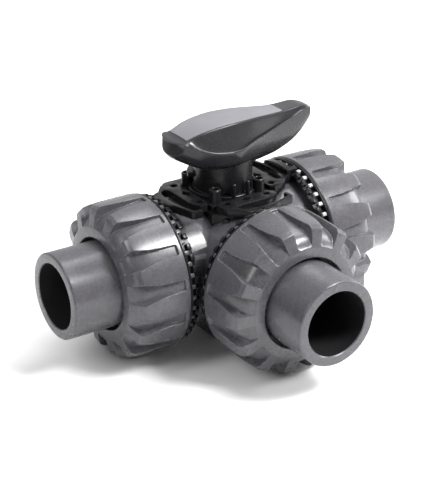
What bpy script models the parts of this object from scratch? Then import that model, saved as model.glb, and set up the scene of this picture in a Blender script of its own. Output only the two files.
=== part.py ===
"""Three-way true-union ball valve with spigot ends, T-port ball and lever handle.

Metres, +Z up.  The origin is the centre of the base pad's lower face, on the stem axis.
The run of the tee lies along X, the branch points to -Y, and the stem stands along +Z.
"""
import math

import bmesh
import bpy
from mathutils import Matrix, Vector

# ---- driving dimensions -------------------------------------------------
AXIS_HEIGHT = 0.0460          # port axes above the base pad
PORT_LENGTH = 0.1113          # tee centre to each spigot end
SPIGOT_RADIUS = 0.0250
BORE_RADIUS = 0.0190
BALL_RADIUS = 0.0300
BODY_RADIUS = 0.0366          # outside of the tee
BODY_BORE = 0.0332            # inside of the tee
NECK_CORE = 0.0376            # root of the male thread
NECK_END = 0.0700             # tee centre to the neck's sealing face
FLANGE_LENGTH = 0.0030
THREAD_PITCH = 0.0060
THREAD_CENTRE = 0.0384        # radius on which the thread's diamond section runs
THREAD_DEPTH = 0.0019         # diamond half height on the neck
NUT_START = 0.0500            # tee centre to the nut's rear face
NUT_LENGTH = 0.0330
NUT_RADIUS = 0.0453
NUT_NOSE_RADIUS = 0.0330
NUT_LIP = 0.0067
NUT_RECESSES = 14
RING_TEETH = 42
RING_RADIUS = 0.0448
RING_LENGTH = 0.0071
RING_HOOP = 0.0025            # length of the ring's plain hoop, beside the nut
CROWN_STEP = 0.0012           # how far the ring's toothed crown stands below the hoop
COLLAR_RADIUS = 0.0372
COLLAR_LENGTH = 0.0057
STEM_RADIUS = 0.0100
STEM_SQUARE = 0.0130
TOWER_RADIUS = 0.0168
TOWER_TOP = 0.0415            # above the port axes, as every height named _TOP
POST_CIRCLE = 0.0420
POST_RADIUS = 0.0034
POST_TOP = 0.0475
PEG_RADIUS = 0.0012
PEG_ANGLE = 14.0              # each stop peg's turn from the front, degrees
PEG_CLEARANCE = 0.0010        # hub to peg
LUG_REACH = 0.0034            # how far the handle's stop lug stands out of the hub
SADDLE_HALF_LENGTH = 0.0250
SADDLE_BACK = 0.0310
SADDLE_FRONT = 0.0355
SADDLE_WAIST = 0.0220         # half length of the saddle where its front corners start
SADDLE_NOSE = 0.0090          # half length of the saddle's front edge
LOCK_INNER = 0.0210
LOCK_REACH = 0.0410           # stem axis to the spring arm's outer edge
LOCK_HALF_WIDTH = 0.0195
LOCK_HOLE = (0.0248, 0.0134)
HOOD_SPAN = (-0.0090, 0.0150) # across the right lock's arched hood
LOCK_THICKNESS = 0.0046
LOCK_TOP = 0.0417
HUB_RADIUS = 0.0172
HANDLE_TOP = 0.0834
HANDLE_REACH = 0.0600         # stem axis to the long end
HANDLE_TAIL = 0.0378          # stem axis to the short end
HANDLE_HALF_WIDTH = 0.0216
PANEL_START = -0.0300         # the insert's ends, from the stem axis
PANEL_END = 0.0375
PRONGS = (-0.0180, 0.0220)
PAD_LENGTH = 0.0360
PAD_WIDTH = 0.0400
INSERT_RADIUS = 0.0040
INSERT_LENGTH = 0.0080
INSERT_SPACING = 0.0220
GAP = 0.0003                  # between pieces that touch
FIT = 0.0004                  # between a turned piece and the hole round it

# ---- derived places -----------------------------------------------------
STEPS = 24
BORE_STEPS = 28
CENTRE = Vector((0.0, 0.0, AXIS_HEIGHT))
PORTS = {
    "left": Vector((-1.0, 0.0, 0.0)),
    "right": Vector((1.0, 0.0, 0.0)),
    "front": Vector((0.0, -1.0, 0.0)),
}
THREAD_CREST = THREAD_CENTRE + THREAD_DEPTH
THREAD_START = NUT_START + 0.006
THREAD_STOP = NECK_END - 0.005
FLANGE_RADIUS = THREAD_CREST
RING_BORE = THREAD_CREST + 0.0005
NUT_END = NUT_START + NUT_LENGTH
COLLAR_START = NECK_END + GAP
LIP_START = NUT_END - NUT_LIP
NUT_BORE = NECK_CORE + 0.0010
SEAT_OUTER = BORE_RADIUS + 0.0055
CARRIER_RADIUS = BODY_BORE - FIT
SADDLE_TOP = LOCK_TOP - LOCK_THICKNESS - GAP
RING_START = NUT_START - GAP - RING_LENGTH
CROWN_RADIUS = RING_RADIUS - CROWN_STEP
PEG_CIRCLE = HUB_RADIUS + PEG_CLEARANCE + PEG_RADIUS


def clear_scene():
    for obj in list(bpy.data.objects):
        bpy.data.objects.remove(obj, do_unlink=True)


def new_collection(name):
    collection = bpy.data.collections.new(name)
    bpy.context.scene.collection.children.link(collection)
    return collection


def material(name, colour, roughness, metallic=0.0):
    mat = bpy.data.materials.new(name)
    mat.use_nodes = True
    shader = mat.node_tree.nodes["Principled BSDF"]
    shader.inputs["Base Color"].default_value = (*colour, 1.0)
    shader.inputs["Roughness"].default_value = roughness
    shader.inputs["Metallic"].default_value = metallic
    return mat


def along(direction):
    """Rotation that turns local +Z to the direction, keeping local +Y level or up."""
    side = Vector((0.0, 0.0, 1.0)) if abs(direction.z) < 0.5 else Vector((0.0, 1.0, 0.0))
    across = side.cross(direction)
    return Matrix((across, side, direction)).transposed().to_4x4()


def place(direction=Vector((0.0, 0.0, 1.0)), origin=CENTRE):
    return Matrix.Translation(origin) @ along(direction)


def add_mesh(name, mesh, matrix=None, collection=None):
    obj = bpy.data.objects.new(name, mesh)
    (collection or CUTTERS).objects.link(obj)
    obj.matrix_world = matrix or Matrix.Translation(CENTRE)
    if (collection or CUTTERS) is CUTTERS:
        obj.hide_render = True
        obj.display_type = "WIRE"
    return obj


def part(obj, mat):
    """Keep a shape as a named piece of the valve."""
    CUTTERS.objects.unlink(obj)
    VALVE.objects.link(obj)
    obj.hide_render = False
    obj.display_type = "TEXTURED"
    obj.data.materials.clear()
    obj.data.materials.append(mat)
    return obj


def turned(name, profile, matrix=None, steps=STEPS):
    """Turn (radius, height) points about local Z; closed unless both ends lie on the axis."""
    bm = bmesh.new()
    verts = [bm.verts.new((radius, 0.0, height)) for radius, height in profile]
    for low, high in zip(verts, verts[1:]):
        bm.edges.new((low, high))
    if profile[0][0] > 0.0:
        bm.edges.new((verts[-1], verts[0]))
    mesh = bpy.data.meshes.new(name)
    bm.to_mesh(mesh)
    bm.free()
    obj = add_mesh(name, mesh, matrix)
    screw = obj.modifiers.new("Turn", "SCREW")
    screw.steps = steps
    screw.render_steps = steps
    screw.use_merge_vertices = True
    screw.merge_threshold = 0.00001
    return obj


def disc(name, radius, low, high, matrix=None, steps=STEPS):
    return turned(name, [(0.0, high), (radius, high), (radius, low), (0.0, low)], matrix, steps)


def ring(name, inner, outer, low, high, matrix=None, steps=STEPS):
    profile = [(outer, high), (outer, low), (inner, low), (inner, high)]
    return turned(name, profile, matrix, steps)


def seal_ring(name, radius, section, height, matrix, steps=STEPS):
    circle = [(radius + section * math.cos(-math.tau * i / 6), height + section * math.sin(-math.tau * i / 6))
              for i in range(6)]
    return part(turned(name, circle, matrix, steps), SEAL)


def box(name, size, centre, matrix=None):
    bm = bmesh.new()
    bmesh.ops.create_cube(bm, size=1.0, matrix=Matrix.Translation(centre) @ Matrix.Diagonal((*size, 1.0)))
    mesh = bpy.data.meshes.new(name)
    bm.to_mesh(mesh)
    bm.free()
    return add_mesh(name, mesh, matrix)


def outline(name, loops, low, high, matrix=None):
    """Extrude flat loops of (x, y) points from local height low to high; inner loops are holes."""
    curve = bpy.data.curves.new(name, "CURVE")
    curve.dimensions = "2D"
    curve.fill_mode = "BOTH"
    curve.extrude = (high - low) / 2.0
    for loop in loops:
        spline = curve.splines.new("POLY")
        spline.points.add(len(loop) - 1)
        spline.use_cyclic_u = True
        for point, (x, y) in zip(spline.points, loop):
            point.co = (x, y, 0.0, 1.0)
    obj = bpy.data.objects.new(name, curve)
    CUTTERS.objects.link(obj)
    lift = Matrix.Translation((0.0, 0.0, (high + low) / 2.0))
    return to_mesh(obj, (matrix or Matrix.Translation(CENTRE)) @ lift)


def to_mesh(obj, matrix):
    """Turn a curve into a closed mesh whose local axes are the matrix's."""
    bpy.context.view_layer.update()
    shape = obj.evaluated_get(bpy.context.evaluated_depsgraph_get())
    mesh = bpy.data.meshes.new_from_object(shape)
    bm = bmesh.new()
    bm.from_mesh(mesh)
    bmesh.ops.remove_doubles(bm, verts=bm.verts, dist=0.000005)
    bmesh.ops.recalc_face_normals(bm, faces=bm.faces)
    bm.to_mesh(mesh)
    bm.free()
    name = obj.name
    bpy.data.objects.remove(obj, do_unlink=True)
    return add_mesh(name, mesh, matrix)


def combine(obj, other, operation):
    boolean = obj.modifiers.new(other.name, "BOOLEAN")
    boolean.operation = operation
    boolean.object = other
    weld = obj.modifiers.new("Weld", "WELD")
    weld.merge_threshold = 0.000002
    return obj


def cut(obj, other):
    return combine(obj, other, "DIFFERENCE")


def join(obj, other):
    return combine(obj, other, "UNION")


def circle_points(x, y, radius, count):
    return [(x + radius * math.cos(math.tau * i / count), y + radius * math.sin(math.tau * i / count))
            for i in range(count)]


def arc_points(x, y, radius, start, end, count):
    return [(x + radius * math.cos(math.radians(start + (end - start) * i / count)),
             y + radius * math.sin(math.radians(start + (end - start) * i / count)))
            for i in range(count + 1)]


def mirrored(points):
    """Close a half outline given from its +Y side, mirroring it over local X."""
    return points + [(x, -y) for x, y in reversed(points) if abs(y) > 0.000001]


def thread(name, depth, start, end, matrix):
    """Right-handed helical ridge with a diamond section, about local Z."""
    curve = bpy.data.curves.new(name, "CURVE")
    curve.dimensions = "3D"
    curve.twist_mode = "Z_UP"
    curve.bevel_depth = depth
    curve.bevel_resolution = 0
    curve.use_fill_caps = True
    count = round((end - start) / THREAD_PITCH * STEPS)
    spline = curve.splines.new("POLY")
    spline.points.add(count)
    for i, point in enumerate(spline.points):
        height = start + (end - start) * i / count
        angle = math.tau * (height / THREAD_PITCH + 0.37 / STEPS)
        point.co = (THREAD_CENTRE * math.cos(angle), THREAD_CENTRE * math.sin(angle), height, 1.0)
    obj = bpy.data.objects.new(name, curve)
    CUTTERS.objects.link(obj)
    return to_mesh(obj, matrix)


# ---- body and base ------------------------------------------------------
def make_body():
    """Tee with three threaded necks, stem tower, base pad and a pocket for the back seat."""
    run = disc("body_run", BODY_RADIUS, -NUT_START, NUT_START, place(PORTS["right"]))
    body = part(run, PVC)
    body.name = "valve_body"
    branch = disc("body_branch", BODY_RADIUS, 0.0, NUT_START, place(PORTS["front"]))
    join(body, branch)
    flange_start = NUT_START - GAP - FLANGE_LENGTH
    for side, direction in PORTS.items():
        neck = turned(side + "_neck", [
            (0.0, NECK_END), (NECK_CORE, NECK_END), (NECK_CORE, NUT_START - GAP),
            (FLANGE_RADIUS, NUT_START - GAP), (FLANGE_RADIUS, flange_start), (0.0, flange_start),
        ], place(direction))
        join(body, neck)
    join(body, disc("stem_tower", TOWER_RADIUS, 0.028, TOWER_TOP))
    pad_top = -BODY_RADIUS + 0.004
    pad_depth = AXIS_HEIGHT + pad_top
    join(body, box("base_pad", (PAD_LENGTH, PAD_WIDTH, pad_depth), (0.0, 0.0, pad_top - pad_depth / 2.0)))
    cut(body, disc("run_bore", BODY_BORE, -PORT_LENGTH, PORT_LENGTH, place(PORTS["right"]), BORE_STEPS))
    cut(body, disc("branch_bore", BODY_BORE, 0.0, PORT_LENGTH, place(PORTS["front"]), BORE_STEPS))
    back = -PORTS["front"]
    pocket = turned("back_seat_pocket", [
        (0.0235, 0.0277), (0.0235, 0.0239), (0.0217, 0.0239),
        (0.0217, 0.0251), (0.0196, 0.0251), (0.0196, 0.0277),
    ], place(back))
    join(body, pocket)
    cut(body, turned("stem_bore", [
        (0.0, TOWER_TOP + 0.001), (STEM_RADIUS + FIT, TOWER_TOP + 0.001), (STEM_RADIUS + FIT, 0.0346),
        (0.0136, 0.0346), (0.0136, 0.0290), (0.0, 0.0290),
    ]))
    for side, direction in PORTS.items():
        ridge = thread(side + "_male_thread", THREAD_DEPTH, THREAD_START, THREAD_STOP, place(direction))
        join(body, ridge)
        groove = ring(side + "_face_groove", 0.0343, 0.0367, NECK_END - 0.0018, NECK_END + 0.001,
                      place(direction))
        cut(body, groove)
    for x in (-INSERT_SPACING / 2.0, INSERT_SPACING / 2.0):
        pocket_top = INSERT_LENGTH + 2.0 * GAP
        socket = disc("base_socket", INSERT_RADIUS + GAP, -0.001, pocket_top,
                      Matrix.Translation((x, 0.0, 0.0)), 16)
        cut(body, socket)
    return body


def make_base_inserts():
    for name, x in (("left", -INSERT_SPACING / 2.0), ("right", INSERT_SPACING / 2.0)):
        sleeve = ring("base_insert_" + name, 0.0025, INSERT_RADIUS, GAP, GAP + INSERT_LENGTH,
                      Matrix.Translation((x, 0.0, 0.0)), 16)
        part(sleeve, BRASS)


# ---- ball, seats and stem -----------------------------------------------
def make_ball():
    mesh = bpy.data.meshes.new("ball")
    bm = bmesh.new()
    bmesh.ops.create_uvsphere(bm, u_segments=STEPS, v_segments=16, radius=BALL_RADIUS)
    bm.to_mesh(mesh)
    bm.free()
    ball = part(add_mesh("ball", mesh), WHITE)
    reach = BALL_RADIUS + 0.002
    cut(ball, disc("ball_run_bore", BORE_RADIUS, -reach, reach, place(PORTS["right"])))
    cut(ball, disc("ball_branch_bore", BORE_RADIUS, 0.0, reach, place(PORTS["front"])))
    slot = (STEM_SQUARE + 0.011 + 2.0 * GAP, 0.0084 + 2.0 * GAP, 0.010)
    cut(ball, box("ball_slot", slot, (0.0, 0.0, BALL_RADIUS - 0.0063 + slot[2] / 2.0)))


def make_seats():
    """A seat, its carrier and two seals behind each port of the ball, and one seat at the back."""
    face_outer = (BALL_RADIUS + 0.0004) / math.sqrt(2.0)
    for side, direction in PORTS.items():
        matrix = place(direction)
        seat = turned(side + "_ball_seat", [
            (SEAT_OUTER, 0.0280), (SEAT_OUTER, SEAT_OUTER + FIT), (face_outer - 0.0002, face_outer + 0.0002),
            (BORE_RADIUS + GAP, 0.0234), (BORE_RADIUS + GAP, 0.0280),
        ], matrix)
        part(seat, WHITE)
        carrier = turned(side + "_seat_carrier", [
            (CARRIER_RADIUS, NECK_END - FIT), (CARRIER_RADIUS, 0.0416), (0.0300, 0.0416), (0.0300, 0.0380),
            (CARRIER_RADIUS, 0.0380), (CARRIER_RADIUS, CARRIER_RADIUS + GAP), (0.0259, 0.0262),
            (SEAT_OUTER + GAP, 0.0262), (SEAT_OUTER + GAP, 0.0283), (BORE_RADIUS, 0.0283),
            (BORE_RADIUS, NECK_END - FIT),
        ], matrix)
        part(carrier, PVC)
        seal_ring(side + "_carrier_oring", 0.0316, 0.0013, 0.0398, matrix)
        seal_ring(side + "_face_oring", 0.0355, 0.0008, NECK_END - 0.0007, matrix)
    back_seat = turned("back_seat", [
        (0.0213, 0.0248), (0.0213, 0.0217), (BORE_RADIUS + GAP, 0.0234), (BORE_RADIUS + GAP, 0.0248),
    ], place(-PORTS["front"]))
    part(back_seat, WHITE)


def make_stem():
    """Stem with a tang in the ball's slot, a collar under the body, two seals and a square drive."""
    stem = part(turned("stem", [
        (0.0, 0.0440), (STEM_RADIUS, 0.0440), (STEM_RADIUS, 0.0407), (0.0082, 0.0407), (0.0082, 0.0387),
        (STEM_RADIUS, 0.0387), (STEM_RADIUS, 0.0375), (0.0082, 0.0375), (0.0082, 0.0355),
        (STEM_RADIUS, 0.0355), (STEM_RADIUS, 0.0330), (0.0130, 0.0330), (0.0130, 0.0304), (0.0, 0.0304),
    ]), PVC)
    join(stem, box("stem_tang", (STEM_SQUARE + 0.011, 0.0084, 0.0072), (0.0, 0.0, 0.0276)))
    join(stem, box("stem_square", (STEM_SQUARE, STEM_SQUARE, 0.0190), (0.0, 0.0, 0.0525)))
    for name, height in (("stem_oring_lower", 0.0365), ("stem_oring_upper", 0.0397)):
        seal_ring(name, 0.0093, 0.0008, height, place(), 16)
    part(ring("stem_washer", STEM_RADIUS + FIT, 0.0132, 0.0333, 0.0343), WHITE)


# ---- unions -------------------------------------------------------------
def make_connector(side, direction):
    chamfer = 0.0012
    profile = [
        (SPIGOT_RADIUS - chamfer, PORT_LENGTH), (SPIGOT_RADIUS, PORT_LENGTH - chamfer),
        (SPIGOT_RADIUS, COLLAR_START + COLLAR_LENGTH), (COLLAR_RADIUS, COLLAR_START + COLLAR_LENGTH),
        (COLLAR_RADIUS, COLLAR_START), (BORE_RADIUS, COLLAR_START), (BORE_RADIUS, PORT_LENGTH),
    ]
    part(turned(side + "_end_connector", profile, place(direction)), PVC)


def recess_cutter(name, matrix):
    """One flared finger recess for each rib gap, narrow at the back and open at the nose."""
    bm = bmesh.new()
    rear = NUT_START + 0.003
    front = NUT_END + 0.002
    for i in range(NUT_RECESSES):
        made = bmesh.ops.create_cube(bm, size=1.0)["verts"]
        for v in made:
            at_front = v.co.z > 0.0
            half_width = 0.0062 if at_front else 0.0031
            floor = NUT_RADIUS - (0.0062 if at_front else 0.0012)
            v.co = Vector((
                floor if v.co.x < 0.0 else NUT_RADIUS + 0.002,
                half_width if v.co.y > 0.0 else -half_width,
                front if at_front else rear,
            ))
        turn = Matrix.Rotation(math.tau * (i + 0.5) / NUT_RECESSES, 4, "Z")
        bmesh.ops.transform(bm, matrix=turn, verts=made)
    mesh = bpy.data.meshes.new(name)
    bm.to_mesh(mesh)
    bm.free()
    return add_mesh(name, mesh, matrix)


def make_nut(side, direction):
    matrix = place(direction)
    lip_bore = SPIGOT_RADIUS + 0.0021
    profile = [
        (NUT_NOSE_RADIUS, NUT_END), (NUT_NOSE_RADIUS + 0.0105, NUT_END - 0.0035),
        (NUT_RADIUS, NUT_END - 0.0058), (NUT_RADIUS, NUT_START),
        (NUT_BORE, NUT_START), (NUT_BORE, LIP_START), (lip_bore, LIP_START), (lip_bore, NUT_END),
    ]
    nut = part(turned(side + "_union_nut", profile, matrix, 2 * NUT_RECESSES), PVC)
    cut(nut, recess_cutter(side + "_recesses", matrix))
    groove = thread(side + "_female_thread", THREAD_DEPTH + 0.0005, NUT_START - 0.003, THREAD_STOP + 0.0015,
                    matrix)
    cut(nut, groove)


def make_ratchet_ring(side, direction):
    """Hoop beside the nut with a toothed crown that tapers towards the tee."""
    matrix = place(direction)
    hoop_start = NUT_START - GAP - RING_HOOP
    nose = RING_START - GAP
    band = turned(side + "_ratchet_ring", [
        (RING_BORE, RING_START), (nose, RING_START), (CROWN_RADIUS, RING_START + CROWN_RADIUS - nose),
        (CROWN_RADIUS, hoop_start), (RING_RADIUS, hoop_start), (RING_RADIUS, NUT_START - GAP),
        (RING_BORE, NUT_START - GAP),
    ], matrix, RING_TEETH)
    part(band, ACETAL)
    bm = bmesh.new()
    slot_inner = RING_BORE - 0.001
    slot_outer = RING_RADIUS + 0.001
    slot_end = hoop_start - 0.0008
    size = (slot_outer - slot_inner, math.pi * RING_BORE / RING_TEETH, slot_end - RING_START + 0.001)
    for i in range(RING_TEETH):
        turn = Matrix.Rotation(math.tau * (i + 0.5) / RING_TEETH, 4, "Z")
        middle = Matrix.Translation(((slot_outer + slot_inner) / 2.0, 0.0, slot_end - size[2] / 2.0))
        bmesh.ops.create_cube(bm, size=1.0, matrix=turn @ middle @ Matrix.Diagonal((*size, 1.0)))
    mesh = bpy.data.meshes.new(side + "_ring_slots")
    bm.to_mesh(mesh)
    bm.free()
    cut(band, add_mesh(side + "_ring_slots", mesh, matrix))


# ---- saddle and nut locks -----------------------------------------------
def lobe_matrix(direction):
    """Local +X radial, local +Y across, local +Z up."""
    return Matrix.Translation(CENTRE) @ Matrix.Rotation(math.atan2(direction.y, direction.x), 4, "Z")


def make_saddle():
    """Black saddle that sits on the tee, with four hollow actuator posts and two stop pegs."""
    corner = 0.006
    shoulder = SADDLE_FRONT - SADDLE_WAIST + SADDLE_NOSE
    step = SADDLE_HALF_LENGTH - SADDLE_WAIST
    half = [(SADDLE_NOSE, -SADDLE_FRONT), (SADDLE_WAIST, -shoulder), (SADDLE_WAIST, -shoulder + 0.0085),
            (SADDLE_HALF_LENGTH, -shoulder + 0.0085 + step)]
    half += arc_points(SADDLE_HALF_LENGTH - corner, SADDLE_BACK - corner, corner, 0.0, 90.0, 3)
    loop = half + [(-x, y) for x, y in reversed(half)]
    saddle = part(outline("mounting_saddle", [loop], 0.0250, SADDLE_TOP), ACETAL)
    collar = 2.0 * (TOWER_RADIUS + 0.0034)
    join(saddle, box("saddle_collar", (collar, collar, 0.0096), (0.0, 0.0, LOCK_TOP - 0.0020 - 0.0048)))
    middle = POST_CIRCLE / 2.0 * math.sqrt(0.5)
    corners = [(sx * middle, sy * middle) for sx in (-1, 1) for sy in (-1, 1)]
    for x, y in corners:
        join(saddle, disc("post", POST_RADIUS, SADDLE_TOP - 0.002, POST_TOP,
                          Matrix.Translation(CENTRE + Vector((x, y, 0.0))), 14))
    for angle in (-90.0 - PEG_ANGLE, -90.0 + PEG_ANGLE):
        x = PEG_CIRCLE * math.cos(math.radians(angle))
        y = PEG_CIRCLE * math.sin(math.radians(angle))
        join(saddle, disc("stop_peg", PEG_RADIUS, SADDLE_TOP - 0.002, POST_TOP + 0.0020,
                          Matrix.Translation(CENTRE + Vector((x, y, 0.0))), 8))
    cut(saddle, disc("tower_hole", TOWER_RADIUS + FIT, 0.0, LOCK_TOP))
    cut(saddle, disc("run_clearance", BODY_RADIUS + GAP, -PORT_LENGTH, PORT_LENGTH, place(PORTS["right"])))
    cut(saddle, disc("branch_clearance", BODY_RADIUS + GAP, 0.0, PORT_LENGTH, place(PORTS["front"])))
    for x, y in corners:
        cut(saddle, disc("post_hole", 0.0018, POST_TOP - 0.010, POST_TOP + 0.001,
                         Matrix.Translation(CENTRE + Vector((x, y, 0.0))), 12))
    return saddle



def make_nut_lock(side, direction):
    """Flat lobe with screw holes and a spring arm that is free at one end, behind the ratchet ring."""
    matrix = lobe_matrix(direction)
    wide = LOCK_HALF_WIDTH
    arm = LOCK_REACH
    tip = RING_START - FIT
    slot = arm - 0.0105
    loop = [
        (LOCK_INNER, -wide + 0.0050), (LOCK_INNER + 0.0005, -wide + 0.0020), (LOCK_INNER + 0.0025, -wide),
        (0.0275, -wide + 0.0003), (0.0320, -wide + 0.0025), (arm - 0.0040, -0.0110), (arm - 0.0008, -0.0096),
        (tip, -0.0085), (tip, 0.0085), (arm - 0.0014, 0.0110), (arm - 0.0026, 0.0145),
        (arm - 0.0042, 0.0200), (arm - 0.0050, 0.0238), (arm - 0.0064, 0.0250), (arm - 0.0090, 0.0249),
        (arm - 0.0118, 0.0244), (arm - 0.0118, 0.0227), (arm - 0.0084, 0.0228), (arm - 0.0070, 0.0220),
        (arm - 0.0060, 0.0185), (arm - 0.0044, 0.0130), (arm - 0.0034, 0.0070), (arm - 0.0032, 0.0),
        (arm - 0.0040, -0.0065), (arm - 0.0056, -0.0096), (arm - 0.0080, -0.0112), (arm - 0.0098, -0.0102),
        (slot, -0.0070), (slot, 0.0110), (slot - 0.0010, 0.0155), (0.0272, wide - 0.0004),
        (LOCK_INNER + 0.0025, wide), (LOCK_INNER + 0.0005, wide - 0.0020), (LOCK_INNER, wide - 0.0050),
    ]
    holes = [circle_points(LOCK_HOLE[0], y, 0.0021, 10) for y in (-LOCK_HOLE[1], LOCK_HOLE[1])]
    middle = LOCK_HOLE[0] - 0.0004
    diamond = [(middle - 0.0024, 0.0), (middle, -0.0042), (middle + 0.0024, 0.0), (middle, 0.0042)]
    lock = part(outline(side + "_nut_lock", [loop, diamond] + holes, LOCK_TOP - LOCK_THICKNESS, LOCK_TOP,
                        matrix), ACETAL)
    if side == "right":
        join(lock, arched_hood(side, direction, matrix))
        window = (0.0028, HOOD_SPAN[1] - HOOD_SPAN[0] - 0.0060, 0.0060)
        centre = (RING_START + 0.0022, sum(HOOD_SPAN) / 2.0, RING_RADIUS)
        cut(lock, box(side + "_window", window, centre, matrix))


def arched_hood(side, direction, matrix):
    """Cap that stands on the lock's spring arm and arches over the ratchet ring's crown."""
    outer = RING_RADIUS + 0.0004
    inner = CROWN_RADIUS + FIT
    leg_end = RING_START - FIT
    back = leg_end - 0.0026
    front = NUT_START - RING_HOOP - 2.0 * GAP
    cap = turned(side + "_hood", [
        (0.0, leg_end), (inner, leg_end), (inner, front), (outer, front), (outer, back), (0.0, back),
    ], place(direction), 2 * STEPS)
    low = LOCK_TOP - LOCK_THICKNESS
    size = (front - back + 0.002, HOOD_SPAN[1] - HOOD_SPAN[0], RING_RADIUS + 0.002 - low)
    centre = ((front + back) / 2.0, sum(HOOD_SPAN) / 2.0, low + size[2] / 2.0)
    return combine(cap, box(side + "_hood_limits", size, centre, matrix), "INTERSECT")


# ---- handle -------------------------------------------------------------
def from_side(name, loop):
    """Shape with an outline in the XZ plane, extruded right across the handle."""
    across = Matrix.Translation(CENTRE) @ Matrix.Rotation(math.pi / 2.0, 4, "X")
    return outline(name, [loop], -0.03, 0.03, across)


def arch(x):
    """Height of the handle's top ridge at x: a shallow arch that peaks over the stem."""
    top = HANDLE_TOP - 0.0004
    return top - (0.0050 * (x / PANEL_START) ** 2 if x < 0.0 else 0.0018 * (x / PANEL_END) ** 1.5)


def panel_half_width(x):
    """Half width of the insert at x: widest over the stem, narrow towards the long end."""
    if x < 0.0:
        return 0.0118 - 0.0024 * (x / PANEL_START) ** 2
    return 0.0118 - 0.0054 * (x / PANEL_END) ** 1.3


def spaced(start, end, count):
    return [start + (end - start) * i / count for i in range(count + 1)]


def panel_loop(start, end, margin):
    """Plan outline of the insert, or of what surrounds it with a margin."""
    stations = [(x, min(max(x, PANEL_START), PANEL_END)) for x in spaced(start, end, 8)]
    return mirrored([(x, panel_half_width(nearest) + margin) for x, nearest in stations])


def make_handle():
    """Boat-shaped lever: a hull that swells over the hub, a ridge along it, scoops and a hub."""
    tail = -HANDLE_TAIL
    tip = HANDLE_REACH
    keel = [(tail, 0.0685), (tail + 0.0012, 0.0665), (-0.0330, 0.0642), (-0.0270, 0.0606), (-0.0200, 0.0573),
            (0.0, 0.0542), (0.0157, 0.0532), (0.0298, 0.0540), (0.0420, 0.0572), (0.0510, 0.0622),
            (tip - 0.0028, 0.0690), (tip, 0.0745)]
    rim = [(tip, 0.0778), (tip - 0.0030, 0.0800), (0.0450, 0.0778), (0.0290, 0.0740), (0.0130, 0.0705),
           (-0.0030, 0.0700), (-0.0180, 0.0722), (-0.0260, 0.0752), (-0.0320, 0.0780), (tail, 0.0784)]
    width = HANDLE_HALF_WIDTH
    plan = mirrored([(tip, 0.0040), (tip - 0.0020, 0.0066), (0.0450, 0.0084), (0.0290, 0.0112),
                     (0.0130, 0.0155), (0.0050, 0.0195), (-0.0040, width), (-0.0120, 0.0210),
                     (-0.0200, 0.0188), (-0.0270, 0.0158), (-0.0320, 0.0122), (-0.0355, 0.0085),
                     (tail, 0.0042)])
    hull = part(outline("handle", [plan], 0.050, 0.090), CHARCOAL)
    combine(hull, from_side("hull_side", keel + rim), "INTERSECT")
    ridge_start = PANEL_START - 0.0045
    ridge_end = tip - 0.0040
    top = [(x, arch(x)) for x in spaced(PANEL_END, ridge_start, 10)]
    ridge = outline("ridge", [panel_loop(ridge_start, ridge_end, 0.0014)], 0.0625, 0.0860)
    side = [(ridge_start, 0.0640), (ridge_end, 0.0640), (ridge_end, 0.0808), (0.0510, 0.0819),
            (0.0440, 0.0815)] + top
    combine(ridge, from_side("ridge_side", side), "INTERSECT")
    join(hull, ridge)
    join(hull, disc("hub", HUB_RADIUS, TOWER_TOP + 0.0006, 0.0600))
    bearing = math.degrees((PEG_RADIUS + GAP / 2.0) / PEG_CIRCLE)
    lug = [(0.0, 0.0)] + arc_points(0.0, 0.0, HUB_RADIUS + LUG_REACH, PEG_ANGLE + bearing,
                                    180.0 - PEG_ANGLE - bearing, 10)
    join(hull, outline("stop_lug", [lug], POST_TOP + 0.0004, POST_TOP + 0.0034))
    socket = STEM_SQUARE + 2.0 * GAP
    cut(hull, box("stem_socket", (socket, socket, 0.0240), (0.0, 0.0, 0.0504)))
    cut(hull, disc("stem_relief", STEM_RADIUS + FIT, TOWER_TOP - 0.001, 0.0443))
    cut(hull, outline("insert_pocket", [panel_loop(PANEL_START - GAP, PANEL_END + GAP, GAP)], 0.0740, 0.0860))
    for x in PRONGS:
        cut(hull, box("prong_socket", (0.0040 + 2.0 * GAP, 0.0080 + 2.0 * GAP, 0.0120), (x, 0.0, 0.0710)))


def make_insert():
    """Lift-out top panel with two prongs, which doubles as the key for the seat carriers."""
    panel = outline("handle_insert", [panel_loop(PANEL_START, PANEL_END, 0.0)], 0.0740 + GAP, 0.0860)
    part(panel, CHARCOAL)
    top = [(x, arch(x) + GAP) for x in spaced(PANEL_START, PANEL_END, 10)]
    combine(panel, from_side("panel_side", [(PANEL_END, 0.0700), (PANEL_START, 0.0700)] + top), "INTERSECT")
    for x in PRONGS:
        join(panel, box("prong", (0.0040, 0.0080, 0.0100), (x, 0.0, 0.0710)))


clear_scene()
VALVE = new_collection("three_way_ball_valve")
CUTTERS = new_collection("cutters")
PVC = material("grey_pvc", (0.135, 0.131, 0.142), 0.38)
ACETAL = material("black_acetal", (0.012, 0.012, 0.013), 0.42)
CHARCOAL = material("charcoal_nylon", (0.045, 0.045, 0.048), 0.35)
WHITE = material("white_ptfe", (0.78, 0.78, 0.76), 0.45)
SEAL = material("black_rubber", (0.012, 0.012, 0.012), 0.75)
BRASS = material("brass", (0.72, 0.52, 0.22), 0.3, 1.0)

make_body()
make_base_inserts()
make_ball()
make_seats()
make_stem()
for port_side, outward in PORTS.items():
    make_connector(port_side, outward)
    make_nut(port_side, outward)
    make_ratchet_ring(port_side, outward)
    make_nut_lock(port_side, outward)
make_saddle()
make_handle()
make_insert()
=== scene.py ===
import math

import bmesh
import bpy
from mathutils import Matrix, Vector


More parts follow.
